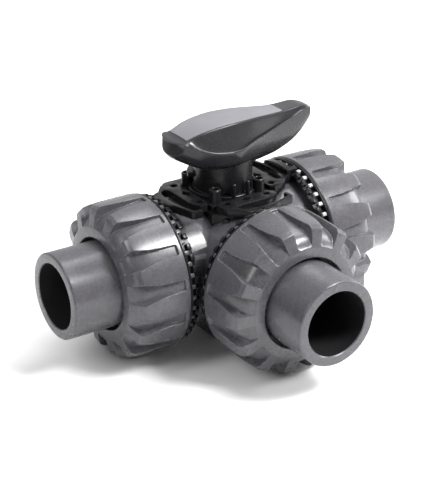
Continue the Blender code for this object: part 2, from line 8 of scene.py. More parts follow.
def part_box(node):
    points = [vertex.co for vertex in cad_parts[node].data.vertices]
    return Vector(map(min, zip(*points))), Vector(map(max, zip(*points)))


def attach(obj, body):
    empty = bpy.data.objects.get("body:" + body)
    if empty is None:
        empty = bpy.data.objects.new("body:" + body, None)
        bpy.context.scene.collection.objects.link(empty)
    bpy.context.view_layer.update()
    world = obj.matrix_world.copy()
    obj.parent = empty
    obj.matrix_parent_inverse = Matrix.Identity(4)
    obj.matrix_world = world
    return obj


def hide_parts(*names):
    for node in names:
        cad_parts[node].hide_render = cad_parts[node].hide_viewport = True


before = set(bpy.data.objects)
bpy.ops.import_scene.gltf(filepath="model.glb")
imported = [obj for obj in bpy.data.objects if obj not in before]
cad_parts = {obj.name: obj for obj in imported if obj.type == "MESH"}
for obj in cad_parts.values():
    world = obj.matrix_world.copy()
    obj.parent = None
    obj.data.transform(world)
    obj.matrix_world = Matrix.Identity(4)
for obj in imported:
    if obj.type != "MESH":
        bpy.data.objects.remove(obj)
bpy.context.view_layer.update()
print("frame loaded")

mm = 0.001
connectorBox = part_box("right_end_connector")
axisHeight = (connectorBox[0].z + connectorBox[1].z) / 2 / mm
portLength = connectorBox[1].x / mm
ports = {"left": Vector((-1, 0, 0)), "right": Vector((1, 0, 0)), "front": Vector((0, -1, 0))}


# ---- placing and finishing ----

def upright(height=0.0):
    return Matrix.Scale(mm, 4) @ Matrix.Translation((0, 0, axisHeight + height))


def facing(direction, turn=0.0):
    side = Vector((0, 0, 1))
    axes = Matrix((side.cross(direction), side, direction)).transposed().to_4x4()
    return upright() @ axes @ Matrix.Rotation(math.radians(turn), 4, "Z")


def radial(direction):
    return upright() @ Matrix.Rotation(math.atan2(direction.y, direction.x), 4, "Z")


def newObject(name, mesh):
    piece = bpy.data.objects.new(name, mesh)
    bpy.context.scene.collection.objects.link(piece)
    return piece


def fromBmesh(name, bm, place, fixNormals=True):
    bmesh.ops.remove_doubles(bm, verts=bm.verts, dist=0.002)
    if fixNormals:
        bmesh.ops.recalc_face_normals(bm, faces=bm.faces)
    bm.transform(place)
    mesh = bpy.data.meshes.new(name)
    bm.to_mesh(mesh)
    bm.free()
    return newObject(name, mesh)


def rounded(piece, width, segments=2, angle=28):
    bevel = piece.modifiers.new("roundEdges", "BEVEL")
    bevel.width = width * mm
    bevel.segments = segments
    bevel.limit_method = "ANGLE"
    bevel.angle_limit = math.radians(angle)
    bevel.harden_normals = False
    bevel.use_clamp_overlap = True
    return piece


def smooth(piece, angle=32):
    piece.data.shade_smooth()
    piece.data.set_sharp_from_angle(angle=math.radians(angle))
    return piece


def applied(piece):
    bpy.context.view_layer.update()
    shape = piece.evaluated_get(bpy.context.evaluated_depsgraph_get())
    mesh = bpy.data.meshes.new_from_object(shape)
    piece.modifiers.clear()
    piece.data = mesh
    return piece


def joined(piece, others, operation="UNION"):
    for other in others:
        boolean = piece.modifiers.new("join", "BOOLEAN")
        boolean.operation = operation
        boolean.object = other
    applied(piece)
    for other in others:
        bpy.data.objects.remove(other, do_unlink=True)
    bm = bmesh.new()
    bm.from_mesh(piece.data)
    bmesh.ops.remove_doubles(bm, verts=bm.verts, dist=0.002 * mm)
    bmesh.ops.dissolve_degenerate(bm, edges=bm.edges, dist=0.004 * mm)
    bm.to_mesh(piece.data)
    bm.free()
    return piece


def dress(piece, material, body, nodes=()):
    piece.data.materials.clear()
    piece.data.materials.append(material)
    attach(piece, body)
    if nodes:
        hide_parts(*nodes)
    return piece


# ---- shapes, all in millimetres until they are placed ----

def lathe(name, profile, place, steps=96):
    bm = bmesh.new()
    verts = [bm.verts.new((r, 0, s)) for s, r in profile]
    edges = [bm.edges.new(pair) for pair in zip(verts, verts[1:])]
    if profile[0][1] > 0:
        edges.append(bm.edges.new((verts[-1], verts[0])))
    bmesh.ops.spin(bm, geom=verts + edges, cent=(0, 0, 0), axis=(0, 0, 1), angle=math.tau,
                   steps=steps, use_merge=True, use_duplicate=False)
    return fromBmesh(name, bm, place)


def arcPoints(centre, radius, start, end, count):
    turns = [math.radians(start + (end - start) * i / count) for i in range(count + 1)]
    return [(centre[0] + radius * math.cos(t), centre[1] + radius * math.sin(t)) for t in turns]


def plate(name, loops, low, high, place, edge=0.3):
    curve = bpy.data.curves.new(name, "CURVE")
    curve.dimensions = "2D"
    curve.fill_mode = "BOTH"
    curve.extrude = (high - low) / 2 - edge
    curve.bevel_depth = edge
    curve.bevel_resolution = 1
    curve.offset = -edge
    for loop in loops:
        spline = curve.splines.new("POLY")
        spline.points.add(len(loop) - 1)
        spline.use_cyclic_u = True
        for point, (x, y) in zip(spline.points, loop):
            point.co = (x, y, 0, 1)
    guide = newObject(name + "Curve", curve)
    bpy.context.view_layer.update()
    shape = guide.evaluated_get(bpy.context.evaluated_depsgraph_get())
    mesh = bpy.data.meshes.new_from_object(shape)
    bpy.data.objects.remove(guide, do_unlink=True)
    bm = bmesh.new()
    bm.from_mesh(mesh)
    bpy.data.meshes.remove(mesh)
    return fromBmesh(name, bm, place @ Matrix.Translation((0, 0, (low + high) / 2)))


def block(bm, size, centre, edge=0.3, turn=None):
    place = Matrix.Translation(centre) @ Matrix.Diagonal((*size, 1))
    made = bmesh.ops.create_cube(bm, size=1, matrix=(turn or Matrix()) @ place)
    edges = list({e for v in made["verts"] for e in v.link_edges})
    if edge:
        bmesh.ops.bevel(bm, geom=edges, offset=edge, segments=2, profile=0.5, affect="EDGES", material=-1)


def copiesRound(bm, count):
    whole = list(bm.verts) + list(bm.edges) + list(bm.faces)
    bmesh.ops.spin(bm, geom=whole, cent=(0, 0, 0), axis=(0, 0, 1), angle=math.tau * (count - 1) / count,
                   steps=count - 1, use_duplicate=True)


def mirrored(points):
    return points + [(x, -y) for x, y in reversed(points) if abs(y) > 0.0001]


def between(table, x):
    # smooth curve through the table that never overshoots its points
    x = min(max(x, table[0][0]), table[-1][0])
    slopes = [(b[1] - a[1]) / (b[0] - a[0]) for a, b in zip(table, table[1:])]
    for i, ((x0, y0), (x1, y1)) in enumerate(zip(table, table[1:])):
        if x <= x1:
            break
    ends = []
    for one, two in ((slopes[max(i - 1, 0)], slopes[i]), (slopes[i], slopes[min(i + 1, len(slopes) - 1)])):
        ends.append(2 * one * two / (one + two) * (x1 - x0) if one * two > 0 else 0.0)
    t = (x - x0) / (x1 - x0)
    lean = t * (1 - t)
    return y0 + (y1 - y0) * t * t * (3 - 2 * t) + lean * (ends[0] * (1 - t) - ends[1] * t)


# ---- materials ----

def plastic(name, settings):
    material = bpy.data.materials.new(name)
    material.use_nodes = True
    nodes = material.node_tree.nodes
    links = material.node_tree.links
    shader = nodes["Principled BSDF"]
    shader.inputs["Metallic"].default_value = settings.get("metallic", 0.0)
    shader.inputs["IOR"].default_value = settings.get("ior", 1.5)
    shader.inputs["Specular IOR Level"].default_value = settings.get("gloss", 0.5)
    shader.inputs["Coat Weight"].default_value = settings.get("coat", 0.0)
    shader.inputs["Coat Roughness"].default_value = settings.get("coatRoughness", 0.3)
    place = nodes.new("ShaderNodeTexCoord").outputs["Object"]

    def noise(scale, detail=3.0):
        node = nodes.new("ShaderNodeTexNoise")
        node.inputs["Scale"].default_value = scale
        node.inputs["Detail"].default_value = detail
        links.new(place, node.inputs["Vector"])
        return node.outputs["Fac"]

    def spread(value, low, high):
        node = nodes.new("ShaderNodeMapRange")
        node.inputs["From Min"].default_value = 0.3
        node.inputs["From Max"].default_value = 0.7
        node.inputs["To Min"].default_value = low
        node.inputs["To Max"].default_value = high
        links.new(value, node.inputs["Value"])
        return node.outputs["Result"]

    def blended(factor, first, second):
        node = nodes.new("ShaderNodeMix")
        node.data_type = "RGBA"
        links.new(factor, node.inputs["Factor"])
        for socket, colour in zip(node.inputs[6:8], (first, second)):
            if isinstance(colour, tuple):
                socket.default_value = (*colour, 1)
            else:
                links.new(colour, socket)
        return node.outputs[2]

    colour = blended(spread(noise(settings["cloud"]), 0, 1), settings["dark"], settings["light"])
    colour = blended(spread(noise(settings["speck"], 1), 0, settings.get("speckAmount", 0.15)), colour,
                     settings["wornAndHighlight"])
    # edges are made lighter where the softened normal leaves the true one: partly rubbed wear, partly a painted
    # highlight along shoulders and ridges
    soft = nodes.new("ShaderNodeBevel")
    soft.samples = 4
    soft.inputs["Radius"].default_value = settings.get("wearAndHighlightRadius", 0.5) * mm
    geometry = nodes.new("ShaderNodeNewGeometry")
    match = nodes.new("ShaderNodeVectorMath")
    match.operation = "DOT_PRODUCT"
    links.new(soft.outputs["Normal"], match.inputs[0])
    links.new(geometry.outputs["Normal"], match.inputs[1])
    wearAndHighlight = nodes.new("ShaderNodeMapRange")
    wearAndHighlight.inputs["From Min"].default_value = 0.995
    wearAndHighlight.inputs["From Max"].default_value = 0.85
    wearAndHighlight.inputs["To Max"].default_value = settings.get("wearAndHighlight", 0.35)
    links.new(match.outputs["Value"], wearAndHighlight.inputs["Value"])
    links.new(blended(wearAndHighlight.outputs["Result"], colour, settings["wornAndHighlight"]), shader.inputs["Base Color"])
    rough = settings["roughness"]
    links.new(spread(noise(settings["cloud"] * 2.3), rough - 0.05, rough + 0.06), shader.inputs["Roughness"])
    bump = nodes.new("ShaderNodeBump")
    bump.inputs["Strength"].default_value = settings["grainStrength"]
    bump.inputs["Distance"].default_value = 0.05 * mm
    links.new(noise(settings["grain"], 2), bump.inputs["Height"])
    ripple = nodes.new("ShaderNodeBump")
    ripple.inputs["Strength"].default_value = settings.get("ripple", 0.12)
    ripple.inputs["Distance"].default_value = 0.3 * mm
    links.new(noise(settings["cloud"] * 1.5, 1), ripple.inputs["Height"])
    links.new(bump.outputs["Normal"], ripple.inputs["Normal"])
    links.new(ripple.outputs["Normal"], shader.inputs["Normal"])
    return material


greyPvc = plastic("greyPvc", {
    "dark": (0.046, 0.0445, 0.050), "light": (0.058, 0.056, 0.063), "wornAndHighlight": (0.22, 0.216, 0.236),
    "cloud": 38, "speck": 900, "grain": 1500, "grainStrength": 0.12, "roughness": 0.27,
    "wearAndHighlight": 0.6, "wearAndHighlightRadius": 0.4, "ripple": 0.08, "gloss": 0.5,
})
# a lighter copy of the grey PVC, a painted highlight for the nut studs that catch the light
highlightPvc = plastic("highlightPvc", {
    "dark": (0.34, 0.337, 0.35), "light": (0.42, 0.417, 0.43), "wornAndHighlight": (0.55, 0.55, 0.57),
    "cloud": 60, "speck": 900, "grain": 1500, "grainStrength": 0.1, "roughness": 0.3,
})
blackAcetal = plastic("blackAcetal", {
    "dark": (0.0045, 0.0045, 0.005), "light": (0.0075, 0.0075, 0.0083), "wornAndHighlight": (0.04, 0.04, 0.044),
    "cloud": 55, "speck": 1200, "grain": 2100, "grainStrength": 0.16, "roughness": 0.28,
    "wearAndHighlight": 0.45, "wearAndHighlightRadius": 0.4, "gloss": 0.17,
})
charcoalNylon = plastic("charcoalNylon", {
    "dark": (0.012, 0.012, 0.0135), "light": (0.017, 0.017, 0.019), "wornAndHighlight": (0.07, 0.07, 0.077),
    "cloud": 32, "speck": 1100, "grain": 1900, "grainStrength": 0.14, "roughness": 0.22,
    "wearAndHighlight": 0.3, "wearAndHighlightRadius": 0.5, "gloss": 0.3, "ripple": 0.04,
})
panelNylon = plastic("panelNylon", {
    "dark": (0.12, 0.118, 0.131), "light": (0.145, 0.142, 0.157), "wornAndHighlight": (0.24, 0.238, 0.26),
    "cloud": 40, "speck": 1300, "grain": 1400, "grainStrength": 0.3, "roughness": 0.36,
    "wearAndHighlight": 0.3, "wearAndHighlightRadius": 0.4,
})
# the grey PVC darkened nearly to black, as painted shade inside the connector bores
boreShadePvc = plastic("boreShadePvc", {
    "dark": (0.010, 0.010, 0.011), "light": (0.014, 0.014, 0.015), "wornAndHighlight": (0.03, 0.03, 0.032),
    "cloud": 38, "speck": 900, "grain": 1500, "grainStrength": 0.16, "roughness": 0.45, "gloss": 0.2,
})
whitePtfe = plastic("whitePtfe", {
    "dark": (0.66, 0.66, 0.64), "light": (0.74, 0.74, 0.72), "wornAndHighlight": (0.8, 0.8, 0.79),
    "cloud": 50, "speck": 700, "grain": 1200, "grainStrength": 0.08, "roughness": 0.42,
})
blackRubber = plastic("blackRubber", {
    "dark": (0.008, 0.008, 0.008), "light": (0.014, 0.014, 0.014), "wornAndHighlight": (0.04, 0.04, 0.04),
    "cloud": 80, "speck": 1500, "grain": 2600, "grainStrength": 0.3, "roughness": 0.68,
})
turnedBrass = plastic("turnedBrass", {
    "dark": (0.60, 0.42, 0.16), "light": (0.70, 0.50, 0.21), "wornAndHighlight": (0.85, 0.68, 0.36),
    "cloud": 90, "speck": 1500, "grain": 2200, "grainStrength": 0.2, "roughness": 0.3, "metallic": 1.0,
})
print("materials ready")


# ---- tee body with its necks, tower and base pad ----

body = {
    "radius": 36.6, "bore": 33.2, "neck": 37.6, "neckEnd": 70.0, "flange": 40.3, "flangeFrom": 46.7,
    "nutFrom": 49.7, "tower": 16.8, "towerTop": 41.5, "pad": (36.0, 40.0), "insert": 4.0, "insertGap": 22.0,
}


def bodyTube(name, direction, start):
    return lathe(name, [
        (start, 0), (start, body["radius"]), (body["flangeFrom"] - 0.6, body["radius"]),
        (body["flangeFrom"], body["radius"] + 0.6), (body["flangeFrom"], body["flange"] - 0.4),
        (body["flangeFrom"] + 0.4, body["flange"]), (body["nutFrom"], body["flange"]),
        (body["nutFrom"], body["neck"]), (body["neckEnd"] - 0.8, body["neck"]),
        (body["neckEnd"], body["neck"] - 0.8), (body["neckEnd"], 0),
    ], facing(direction), 128)


def makeBody():
    tee = bodyTube("valveBody", ports["right"], -30)
    left = bodyTube("leftTube", ports["left"], -30.5)
    front = bodyTube("frontTube", ports["front"], -1)
    tower = lathe("towerTube", [(28, 0), (28, body["tower"]), (body["towerTop"], body["tower"]),
                                (body["towerTop"], 0)], upright(), 64)
    bm = bmesh.new()
    padDepth = axisHeight - body["radius"] + 4
    block(bm, (*body["pad"], padDepth), (0, 0, -axisHeight + padDepth / 2), 0.6)
    pad = fromBmesh("basePad", bm, upright())
    joined(tee, [left, front, tower, pad])
    cutters = [
        lathe("runBore", [(-90, 0), (-90, body["bore"]), (90, body["bore"]), (90, 0)], facing(ports["right"]), 128),
        lathe("branchBore", [(0, 0), (0, body["bore"]), (90, body["bore"]), (90, 0)], facing(ports["front"]), 128),
        lathe("stemBore", [(20, 0), (20, 13.6), (34.6, 13.6), (34.6, 10.4), (43, 10.4), (43, 0)], upright(), 64),
    ]
    for x in (-body["insertGap"] / 2, body["insertGap"] / 2):
        cutters.append(lathe("insertHole", [(-1, 0), (-1, body["insert"] + 0.3), (8.6, body["insert"] + 0.3), (8.6, 0)],
                             Matrix.Scale(mm, 4) @ Matrix.Translation((x, 0, 0)), 40))
    joined(tee, cutters, "DIFFERENCE")
    smooth(rounded(tee, 0.35, 2, 32))
    return dress(tee, greyPvc, "root", ["valve_body"])


def makeThread(side, direction):
    # helical ridge round the neck, hidden until the nut comes off
    pitch, turns, steps = 6.0, 1.5, 90
    bm = bmesh.new()
    section = [bm.verts.new(p) for p in ((37.3, 0, 54.9), (40.2, 0, 55.8), (40.2, 0, 56.2), (37.3, 0, 57.1))]
    face = bm.faces.new(section)
    bmesh.ops.spin(bm, geom=[face], cent=(0, 0, 0), axis=(0, 0, 1), dvec=(0, 0, pitch * turns / steps),
                   angle=math.tau * turns, steps=steps, use_merge=False, use_duplicate=False)
    ridge = fromBmesh(side + "NeckThread", bm, facing(direction, 360 * 0.37 / 24))
    return dress(smooth(ridge), greyPvc, "root")


makeBody()
for side, direction in ports.items():
    makeThread(side, direction)
for side in ("left", "right"):
    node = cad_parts["base_insert_" + side]
    node.data.materials.clear()
    node.data.materials.append(turnedBrass)
print("body ready")


# ---- end connectors ----

connector = {"outer": 25.0, "bore": 19.0, "collar": 37.2, "from": 70.3, "collarTo": 76.0, "edge": 1.1}


def makeConnector(side, direction):
    c = connector
    profile = [(portLength, c["bore"] + 0.5), (portLength, c["outer"] - c["edge"])]
    profile += [(portLength - c["edge"] * (1 - math.cos(t)), c["outer"] - c["edge"] * (1 - math.sin(t)))
                for t in (0.4, 0.8, 1.2)]
    profile += [(portLength - c["edge"], c["outer"]), (c["collarTo"] + 1.0, c["outer"]),
                (c["collarTo"] + 0.3, c["outer"] + 0.3), (c["collarTo"], c["outer"] + 1.0),
                (c["collarTo"], c["collar"] - 0.4), (c["collarTo"] - 0.4, c["collar"]),
                (c["from"], c["collar"]), (c["from"], c["bore"]), (portLength - 0.5, c["bore"])]
    piece = lathe(side + "EndConnector", profile, facing(direction), 160)
    dress(smooth(piece), greyPvc, side + "_connector", [side + "_end_connector"])
    # faces inside the bore get the darkened PVC, a painted shade
    piece.data.materials.append(boreShadePvc)
    centre = Vector((0, 0, axisHeight * mm))
    for face in piece.data.polygons:
        out = face.center - centre
        if (out - out.project(direction)).length < (c["bore"] + 0.2) * mm:
            face.material_index = 1
    return piece


for side, direction in ports.items():
    makeConnector(side, direction)
print("connectors ready")


# ---- union nuts: 14 pads with flared recesses between them ----

nut = {
    "pads": 14, "studs": 42, "studTop": 43.9, "studFrom": 45.9, "studWidth": 2.3, "highlightStuds": "right",
    # along the port axis and out from it, on a pad and on the floor of a recess
    "padProfile": [(50.0, 44.6), (50.7, 45.3), (52.4, 45.3), (53.0, 45.3), (53.3, 45.3), (57.5, 45.3),
                   (63.0, 45.25), (69.0, 45.15), (74.5, 44.9), (78.0, 44.5), (80.2, 43.0), (81.6, 38.6),
                   (82.4, 34.4)],
    "floorProfile": [(50.0, 44.6), (50.7, 45.3), (52.3, 45.3), (52.7, 45.2), (53.2, 43.8), (57.5, 43.3),
                     (63.0, 42.6), (69.0, 41.7), (74.5, 40.6), (77.6, 39.3), (79.6, 37.6), (81.2, 35.6),
                     (82.1, 34.0)],
    "nose": [(82.8, 33.4), (83.0, 32.9), (83.0, 27.5), (82.6, 27.1), (76.6, 27.1), (76.3, 38.6),
             (60.0, 38.6), (50.6, 38.9), (50.0, 39.5)],
    "halfWidth": [(50.0, 3.4), (52.9, 3.7), (53.6, 4.0), (63.0, 4.3), (71.0, 5.4), (79.0, 7.8), (84.0, 8.0)],
    "wall": 0.55,
    "turn": {"left": 12.3, "right": 10.0, "front": 91.6},
}


def nutStation(row, across):
    # across runs from -1 on one pad's middle, over the recess at 0, to +1 on the next pad's middle
    rows = len(nut["padProfile"])
    pitch = 180 / nut["pads"]
    if row >= rows:
        s, r = nut["nose"][row - rows]
        return s, r, across * pitch
    s, r = nut["padProfile"][row]
    half = between(nut["halfWidth"], s)
    steps = (0.0, 0.25, 0.5, 0.75, 1.0)
    place = abs(across) * 8
    if place <= 3:
        s, r = nut["floorProfile"][row]
        angle = (half - nut["wall"]) * place / 3
    else:
        angle = half + (pitch - half) * (place - 4) / 4
    return s, r, math.copysign(angle, across)


def makeNut(side, direction):
    columns = 17
    rows = len(nut["padProfile"]) + len(nut["nose"]) + 1
    bm = bmesh.new()
    grid = bmesh.ops.create_grid(bm, x_segments=columns - 1, y_segments=rows - 1, size=1)
    for vert in grid["verts"]:
        row = round((vert.co.y + 1) / 2 * (rows - 1)) % (rows - 1)
        s, r, angle = nutStation(row, vert.co.x)
        turn = math.radians(angle)
        vert.co = (r * math.cos(turn), r * math.sin(turn), s)
    copiesRound(bm, nut["pads"])
    piece = fromBmesh(side + "UnionNut", bm, facing(direction, nut["turn"][side]))
    smooth(rounded(piece, 0.45, 3, 24), 40)
    dress(piece, greyPvc, side + "_nut", [side + "_union_nut"])
    studs = bmesh.new()
    block(studs, (2.2, nut["studWidth"], 50.3 - nut["studFrom"]),
          (nut["studTop"] - 1.1, 0, (50.3 + nut["studFrom"]) / 2), 0.45)
    copiesRound(studs, nut["studs"])
    piece = fromBmesh(side + "NutStuds", studs, facing(direction))
    # only the right nut's studs get the lighter PVC copy, as a painted highlight
    shade = highlightPvc if side == nut["highlightStuds"] else greyPvc
    return dress(smooth(piece), shade, side + "_nut")


for side, direction in ports.items():
    makeNut(side, direction)
print("nuts ready")


# ---- ratchet rings ----

ratchet = {
    "inner": 40.8, "hoop": 44.8, "hoopFrom": 48.6, "to": 49.7, "crown": 43.6, "from": 42.6, "crownTo": 45.8,
    "taper": 1.3, "root": 41.7, "teeth": 42, "toothWidth": 3.5,
}


def makeRatchet(side, direction):
    g = ratchet
    band = [(g["to"], g["inner"]), (g["to"], g["hoop"] - 0.25), (g["to"] - 0.25, g["hoop"]),
            (g["hoopFrom"] + 0.25, g["hoop"]), (g["hoopFrom"], g["hoop"] - 0.25), (g["hoopFrom"], g["root"]),
            (g["from"] + 0.3, g["root"]), (g["from"], g["root"] - 0.3), (g["from"], g["inner"])]
    piece = lathe(side + "RatchetRing", band, facing(direction), 168)
    teeth = bmesh.new()
    block(teeth, (g["crown"] - g["root"] + 0.4, g["toothWidth"], g["crownTo"] - g["from"]),
          ((g["crown"] + g["root"] - 0.4) / 2, 0, (g["crownTo"] + g["from"]) / 2), 0)
    corner = [e for e in teeth.edges if all(v.co.x > g["root"] and v.co.z < g["from"] + 0.1 for v in e.verts)]
    bmesh.ops.bevel(teeth, geom=corner, offset=g["taper"], segments=1, profile=0.5, affect="EDGES", material=-1)
    bmesh.ops.bevel(teeth, geom=teeth.edges[:], offset=0.22, segments=2, profile=0.5, affect="EDGES", material=-1)
    copiesRound(teeth, g["teeth"])
    crown = fromBmesh(side + "RingTeeth", teeth, facing(direction, 180 / g["teeth"]))
    dress(smooth(crown), blackAcetal, side + "_nut")
    return dress(smooth(piece), blackAcetal, side + "_nut", [side + "_ratchet_ring"])


for side, direction in ports.items():
    makeRatchet(side, direction)
print("ratchet rings ready")


# ---- saddle with its posts and pegs ----

saddle = {
    "back": 31.0, "half": 25.0, "corner": 6.0, "front": [(25.0, -11.0), (22.0, -14.0), (22.0, -22.5), (9.0, -35.5)],
    "low": 25.0, "top": 36.8, "collar": 20.2, "collarTop": 39.7, "ring": (17.2, 19.6), "ringTop": 41.8,
    "postCircle": 42.0, "post": 3.4, "postHole": 1.9, "postTop": 47.5, "peg": 1.2, "pegCircle": 19.4,
}


def makeSaddle():
    g = saddle
    middle = g["half"] - g["corner"], g["back"] - g["corner"]
    right = [(x, y) for x, y in reversed(g["front"])] + arcPoints(middle, g["corner"], 0, 90, 8)
    base = plate("mountingSaddle", [right + [(-x, y) for x, y in reversed(right)]], g["low"], g["top"], upright(), 0.5)
    bm = bmesh.new()
    block(bm, (2 * g["collar"], 2 * g["collar"], g["collarTop"] - 31), (0, 0, (g["collarTop"] + 31) / 2), 0.5)
    collar = fromBmesh("saddleCollar", bm, upright())
    joined(base, [collar])
    joined(base, [
        lathe("runClearance", [(-90, 0), (-90, 36.9), (90, 36.9), (90, 0)], facing(ports["right"]), 96),
        lathe("branchClearance", [(0, 0), (0, 36.9), (90, 36.9), (90, 0)], facing(ports["front"]), 96),
        lathe("towerHole", [(0, 0), (0, 17.2), (41, 17.2), (41, 0)], upright(), 64),
    ], "DIFFERENCE")
    inner, outer = g["ring"]
    ring = lathe("saddleRing", [(38.5, inner), (38.5, outer), (g["ringTop"] - 0.4, outer), (g["ringTop"], outer - 0.4),
                                (g["ringTop"], inner)], upright(), 96)
    dress(smooth(ring), blackAcetal, "root")
    boss = lathe("saddleBoss", [(-1.5, 0), (-1.5, 2.4), (1.4, 2.2), (1.8, 1.8), (1.8, 0)],
                 upright(32.4) @ Matrix.Translation((-15.9, -28.6, 0)) @ Matrix.Rotation(math.radians(-135), 4, "Z")
                 @ Matrix.Rotation(math.radians(90), 4, "Y"), 32)
    dress(smooth(boss), blackAcetal, "root")
    smooth(rounded(base, 0.3, 2, 35))
    dress(base, blackAcetal, "root", ["mounting_saddle"])
    middle = g["postCircle"] / 2 * math.sqrt(0.5)
    post = [(33.2, g["post"] + 0.9), (36, g["post"] + 0.9), (39.8, g["post"] + 0.5), (41.5, g["post"]),
            (g["postTop"] - 0.5, g["post"]), (g["postTop"], g["post"] - 0.5), (g["postTop"], g["postHole"] + 0.3),
            (g["postTop"] - 0.3, g["postHole"]), (38, g["postHole"]), (37.6, 0), (33.2, 0)]
    post = [(z, max(r, 0)) for z, r in post]
    for index, (sx, sy) in enumerate(((-1, -1), (1, -1), (1, 1), (-1, 1))):
        place = upright() @ Matrix.Translation((sx * middle, sy * middle, 0))
        piece = lathe("actuatorPost%d" % (index + 1), [(33.2, 0)] + post[:-1], place, 40)
        dress(smooth(piece), blackAcetal, "root")
    for name, angle in (("stopPegLeft", -104), ("stopPegRight", -76)):
        turn = math.radians(angle)
        place = upright() @ Matrix.Translation((g["pegCircle"] * math.cos(turn), g["pegCircle"] * math.sin(turn), 0))
        piece = lathe(name, [(36, 0), (36, g["peg"]), (49.0, g["peg"]), (49.4, g["peg"] - 0.4), (49.5, 0)], place, 24)
        dress(smooth(piece), blackAcetal, "root")


makeSaddle()
print("saddle ready")


# ---- nut locks ----

lock = {
    "low": 37.1, "top": 41.7, "holeAt": (24.8, 13.4), "hole": 2.1, "diamond": (24.4, 2.4, 4.2),
    # out from the stem, and sideways; the spring arm hangs on at one end only
    "outline": [
        (21.0, -14.5), (21.5, -17.5), (23.5, -19.5), (27.5, -19.2), (32.0, -17.0), (37.0, -11.0), (40.2, -9.6),
        (42.2, -8.5), (42.2, 8.5), (39.6, 11.0), (38.4, 14.5), (36.8, 20.0), (36.0, 23.8), (34.6, 25.0),
        (32.0, 24.9), (29.2, 24.4), (29.2, 22.7), (32.6, 22.8), (34.0, 22.0), (35.0, 18.5), (36.6, 13.0),
        (37.6, 7.0), (37.8, 0.0), (37.0, -6.5), (35.4, -9.6), (33.0, -11.2), (31.2, -10.2), (30.5, -7.0),
        (30.5, 11.0), (29.5, 15.5), (27.2, 19.1), (23.5, 19.5), (21.5, 17.5), (21.0, 14.5),
    ],
    "hoodOn": "right", "hoodSpan": (-9.0, 15.0), "hoodInner": 44.0, "hoodOuter": 45.2, "hoodFrom": 39.6,
    "hoodTo": 46.9, "leg": 2.6, "window": (43.4, 46.2, 3.0),
}


def spanBlock(name, start, end, side, low, high, place):
    bm = bmesh.new()
    block(bm, (end - start, side[1] - side[0], high - low),
          ((start + end) / 2, (side[0] + side[1]) / 2, (low + high) / 2), 0)
    return fromBmesh(name, bm, place)


def makeHood(side, direction):
    # arched cap over the ring's crown, with a window that shows the teeth
    g = lock
    inner, outer = g["hoodInner"], g["hoodOuter"]
    cap = lathe(side + "LockHood", [
        (g["hoodFrom"] + g["leg"], 30), (g["hoodFrom"] + g["leg"], inner), (g["hoodTo"], inner),
        (g["hoodTo"], outer), (g["hoodFrom"], outer), (g["hoodFrom"], 30),
    ], facing(direction), 144)
    place = radial(direction)
    joined(cap, [spanBlock("hoodLimits", 39, 48, g["hoodSpan"], g["low"], 50, place)], "INTERSECT")
    start, end, margin = g["window"]
    opening = (g["hoodSpan"][0] + margin, g["hoodSpan"][1] - margin)
    joined(cap, [spanBlock("hoodWindow", start, end, opening, 40.5, 47, place)], "DIFFERENCE")
    smooth(rounded(cap, 0.3, 2, 35))
    dress(cap, blackAcetal, "root")


def makeLock(side, direction):
    g = lock
    x, y = g["holeAt"]
    holes = [arcPoints((x, v), g["hole"], 0, 345, 23) for v in (-y, y)]
    at, along, across = g["diamond"]
    diamond = [(at - along, 0.0), (at, -across), (at + along, 0.0), (at, across)]
    piece = plate(side + "NutLock", [g["outline"], diamond] + holes, g["low"], g["top"], radial(direction), 0.3)
    dress(smooth(piece), blackAcetal, "root", [side + "_nut_lock"])
    if side == g["hoodOn"]:
        makeHood(side, direction)


for side, direction in ports.items():
    makeLock(side, direction)
print("nut locks ready")


# ---- handle ----

handle = {
    "tail": -37.8, "tip": 60.0, "panelFrom": -30.0, "panelTo": 37.5, "seat": 74.0, "prongs": (-18.0, 22.0),
    "prongLow": 66.0,
    "tailBow": (5.2, -15.0), "tipBow": (2.6, 44.0),
    "panelHalf": [(-30.0, 8.9), (-20.0, 10.2), (-10.0, 11.0), (0.0, 11.3), (10.0, 10.4), (20.0, 8.9), (37.5, 5.9)],
    "keel": [(-37.8, 68.3), (-36.6, 66.5), (-33.0, 64.0), (-27.0, 60.6), (-20.0, 57.5), (0.0, 54.2), (15.7, 53.2),
             (29.8, 54.0), (42.0, 57.2), (51.0, 62.2), (57.2, 68.4), (60.0, 72.5)],
    "top": [(-37.8, 76.4), (-35.8, 76.9), (-33.6, 77.1), (-31.5, 77.5), (-29.0, 78.3), (-22.0, 80.4), (-12.0, 82.2),
            (0.0, 83.0), (15.0, 82.6), (37.5, 81.2), (44.0, 81.5), (51.0, 81.9), (56.0, 80.9), (60.0, 78.6)],
    "ridgeHalf": [(-37.8, 11.6), (-34.0, 11.2), (-30.0, 10.5), (-20.0, 11.8), (0.0, 12.9), (10.0, 12.0), (20.0, 10.5),
                  (37.5, 7.4), (48.0, 6.6), (60.0, 5.6)],
    "rimHeight": [(-37.8, 76.2), (-34.0, 76.2), (-30.0, 75.0), (-24.0, 73.0), (-18.0, 71.4), (-10.0, 70.4),
                  (-2.0, 70.0), (5.0, 70.3), (13.0, 71.5), (29.0, 74.2), (46.0, 77.9), (52.0, 79.4), (57.0, 79.6),
                  (60.0, 78.2)],
    "rimHalf": [(-37.8, 12.5), (-34.0, 14.0), (-30.0, 15.8), (-24.0, 17.8), (-18.0, 19.6), (-12.0, 20.9),
                (-5.0, 21.5), (0.0, 20.9), (6.0, 18.8), (14.0, 15.3), (29.0, 11.2), (45.0, 8.4), (56.0, 7.0),
                (60.0, 6.4)],
    "scoop": [(-37.8, 0.0), (-33.0, 0.2), (-27.0, 2.2), (-18.0, 4.0), (-4.0, 4.4), (12.0, 4.6), (29.0, 3.4),
              (40.0, 1.2), (46.0, 0.0), (60.0, 0.0)],
}


